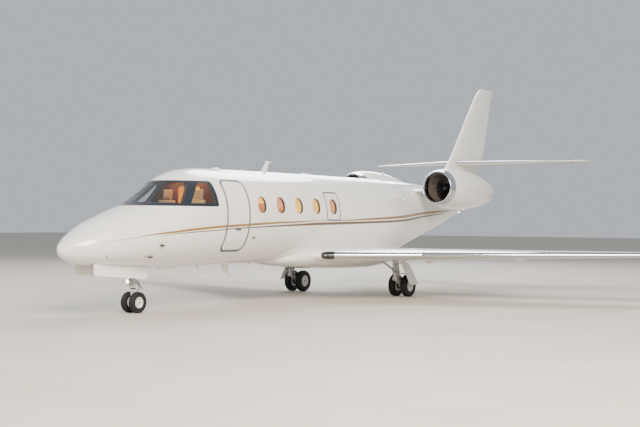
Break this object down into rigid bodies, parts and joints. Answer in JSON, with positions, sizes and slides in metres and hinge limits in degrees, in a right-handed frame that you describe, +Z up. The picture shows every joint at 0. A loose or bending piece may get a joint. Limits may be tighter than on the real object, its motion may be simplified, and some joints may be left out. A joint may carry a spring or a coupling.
{
  "type": "twin-engined business jet",
  "caption": "Business jet on its landing gear, with a hollow furnished cabin, an opening airstair door, steering nose wheels, turning fans, flaps and control surfaces.",
  "frame": {"origin": "on the ground under the middle of the aircraft's box, on its plane of symmetry", "axes": "nose towards -Y, tail towards +Y, port side with the entry door towards +X, +Z up"},
  "size_m": [16.94, 17.3, 5.82],
  "materials": {
    "white_skin": "gloss white paint",
    "white_composite": "gloss white paint on composite",
    "polished_metal": "polished",
    "gear_steel": "satin",
    "engine_metal": "satin",
    "tyre": "matte",
    "window_glass": "clear",
    "seat_leather": "tan leather",
    "panel_plastic": "matte",
    "cabin_lining": "carpet and lining"
  },
  "bodies": {
    "airframe": {"radome": "white_composite", "cockpit_section": "white_skin", "cockpit_glass_port": "window_glass", "cockpit_glass_starboard": "window_glass", "cabin_section": "white_skin", "escape_hatch_port": "white_skin", "escape_hatch_starboard": "white_skin", "cabin_windows_port": "window_glass", "cabin_windows_starboard": "window_glass", "cabin_floor": "cabin_lining", "instrument_panel": "panel_plastic", "pilot_seat": "seat_leather", "copilot_seat": "seat_leather", "club_seats_port": "seat_leather", "club_seats_starboard": "seat_leather", "wing_port": "white_skin", "wing_starboard": "white_skin", "belly_fairing": "white_composite", "tail_section": "white_skin", "fin": "white_skin", "tailplane": "white_skin", "intake_lip_port": "polished_metal", "intake_lip_starboard": "polished_metal", "nacelle_cowl_port": "white_composite", "nacelle_cowl_starboard": "white_composite", "engine_core_port": "engine_metal", "engine_core_starboard": "engine_metal", "pylon_port": "white_skin", "pylon_starboard": "white_skin", "nose_leg": "gear_steel", "nose_gear_door_port": "white_skin", "nose_gear_door_starboard": "white_skin", "main_leg_port": "gear_steel", "main_leg_starboard": "gear_steel", "main_gear_door_port": "white_skin", "main_gear_door_starboard": "white_skin"},
    "entry_door": {"entry_door": "white_skin"},
    "nose_steering": {"nose_fork": "gear_steel"},
    "nose_wheels": {"nose_hubs": "polished_metal", "nose_tyre_port": "tyre", "nose_tyre_starboard": "tyre"},
    "main_wheels_port": {"main_hubs_port": "polished_metal", "main_tyre_inner_port": "tyre", "main_tyre_outer_port": "tyre"},
    "main_wheels_starboard": {"main_hubs_starboard": "polished_metal", "main_tyre_inner_starboard": "tyre", "main_tyre_outer_starboard": "tyre"},
    "fan_port": {"fan_port": "engine_metal"},
    "fan_starboard": {"fan_starboard": "engine_metal"},
    "rudder": {"rudder": "white_skin"},
    "elevator_port": {"elevator_port": "white_skin"},
    "elevator_starboard": {"elevator_starboard": "white_skin"},
    "aileron_port": {"aileron_port": "white_skin"},
    "aileron_starboard": {"aileron_starboard": "white_skin"},
    "flap_inner_port": {"flap_inner_port": "white_skin"},
    "flap_inner_starboard": {"flap_inner_starboard": "white_skin"},
    "flap_outer_port": {"flap_outer_port": "white_skin"},
    "flap_outer_starboard": {"flap_outer_starboard": "white_skin"}
  },
  "joints": [
    {"name": "entry_door_hinge", "type": "hinge", "parent": "airframe", "child": "entry_door", "pos_m": [0.735, -4.79, 1.18], "axis": [0, 1, 0], "range_deg": [0, 130]},
    {"name": "nose_steer", "type": "hinge", "parent": "airframe", "child": "nose_steering", "pos_m": [0, -6.79, 0.64], "axis": [0, 0, 1], "range_deg": [-60, 60]},
    {"name": "nose_wheels_roll", "type": "hinge", "parent": "nose_steering", "child": "nose_wheels", "pos_m": [0, -6.77, 0.203], "axis": [1, 0, 0], "continuous": true},
    {"name": "main_wheels_port_roll", "type": "hinge", "parent": "airframe", "child": "main_wheels_port", "pos_m": [1.545, 0.65, 0.265], "axis": [1, 0, 0], "continuous": true},
    {"name": "main_wheels_starboard_roll", "type": "hinge", "parent": "airframe", "child": "main_wheels_starboard", "pos_m": [-1.545, 0.65, 0.265], "axis": [1, 0, 0], "continuous": true},
    {"name": "fan_port_spin", "type": "hinge", "parent": "airframe", "child": "fan_port", "pos_m": [1.3, 3.40975, 2.6571], "axis": [0, 0.9996, -0.028], "continuous": true},
    {"name": "fan_starboard_spin", "type": "hinge", "parent": "airframe", "child": "fan_starboard", "pos_m": [-1.3, 3.40975, 2.6571], "axis": [0, 0.9996, -0.028], "continuous": true},
    {"name": "rudder_hinge", "type": "hinge", "parent": "airframe", "child": "rudder", "pos_m": [0, 7.349, 3.7], "axis": [0, 0.4309, 0.9024], "range_deg": [-25, 25]},
    {"name": "elevator_port_hinge", "type": "hinge", "parent": "airframe", "child": "elevator_port", "pos_m": [0.19, 7.36, 3.5073], "axis": [0.9828, 0.1845, 0.0119], "range_deg": [-15, 25]},
    {"name": "elevator_starboard_hinge", "type": "hinge", "parent": "airframe", "child": "elevator_starboard", "pos_m": [-0.19, 7.36, 3.5073], "axis": [0.9828, -0.1845, -0.0119], "range_deg": [-15, 25]},
    {"name": "aileron_port_hinge", "type": "hinge", "parent": "airframe", "child": "aileron_port", "pos_m": [5.38, 1.34, 1.077], "axis": [0.9608, 0.2771, 0.0105], "range_deg": [-20, 20]},
    {"name": "aileron_starboard_hinge", "type": "hinge", "parent": "airframe", "child": "aileron_starboard", "pos_m": [-5.38, 1.34, 1.077], "axis": [0.9608, -0.2771, -0.0105], "range_deg": [-20, 20]},
    {"name": "flap_inner_port_hinge", "type": "hinge", "parent": "airframe", "child": "flap_inner_port", "pos_m": [1.98, 0.64, 0.79], "axis": [-1, 0, 0], "range_deg": [0, 40]},
    {"name": "flap_inner_starboard_hinge", "type": "hinge", "parent": "airframe", "child": "flap_inner_starboard", "pos_m": [-1.98, 0.64, 0.79], "axis": [-1, 0, 0], "range_deg": [0, 40]},
    {"name": "flap_outer_port_hinge", "type": "hinge", "parent": "airframe", "child": "flap_outer_port", "pos_m": [2.93, 0.68, 0.79], "axis": [-0.9765, -0.2156, 0], "range_deg": [0, 40]},
    {"name": "flap_outer_starboard_hinge", "type": "hinge", "parent": "airframe", "child": "flap_outer_starboard", "pos_m": [-2.93, 0.68, 0.79], "axis": [-0.9765, 0.2156, 0], "range_deg": [0, 40]}
  ],
  "couplings": [
    {"joint": "elevator_starboard_hinge", "follows": "elevator_port_hinge", "ratio": 1},
    {"joint": "aileron_starboard_hinge", "follows": "aileron_port_hinge", "ratio": -1},
    {"joint": "flap_inner_starboard_hinge", "follows": "flap_inner_port_hinge", "ratio": 1},
    {"joint": "flap_outer_port_hinge", "follows": "flap_inner_port_hinge", "ratio": 1},
    {"joint": "flap_outer_starboard_hinge", "follows": "flap_inner_port_hinge", "ratio": 1}
  ]
}
